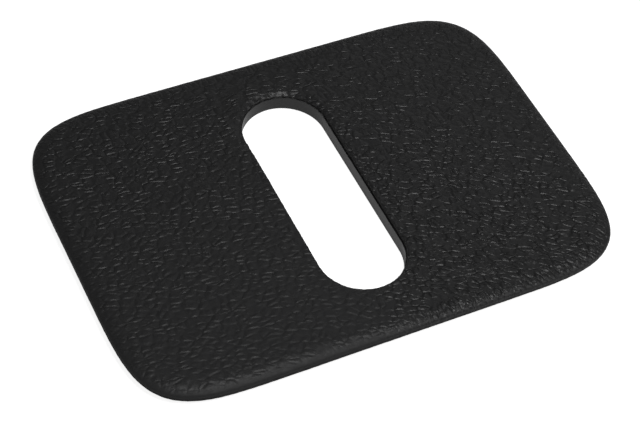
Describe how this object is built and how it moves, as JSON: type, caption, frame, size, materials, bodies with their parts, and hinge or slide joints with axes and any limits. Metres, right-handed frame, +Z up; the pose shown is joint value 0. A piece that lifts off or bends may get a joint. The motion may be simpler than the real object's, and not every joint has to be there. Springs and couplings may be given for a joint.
{
  "type": "armrest pad",
  "caption": "Flat leather-covered armrest pad with rounded corners and edges, and a lined slot right through its middle.",
  "frame": {"origin": "middle of the underside, where the pad rests on its arm", "axes": "+X along the long side, +Y along the slot, +Z up through the pad's thickness"},
  "size_m": [0.14, 0.1, 0.0054],
  "materials": {
    "cover_leather": "black pebble-grained leather with a soft semi-matt finish",
    "foam": "closed-cell foam sheet, matt",
    "carrier_plastic": "moulded plastic with a fine texture",
    "liner_plastic": "smooth satin moulded plastic",
    "backing_felt": "pressed non-woven felt",
    "insert_brass": "turned and knurled brass"
  },
  "bodies": {
    "root": {"leather_cover": "cover_leather", "foam_layer": "foam", "carrier_plate": "carrier_plastic", "slot_liner": "liner_plastic", "backing_felt": "backing_felt", "threaded_inserts": "insert_brass"}
  },
  "joints": []
}
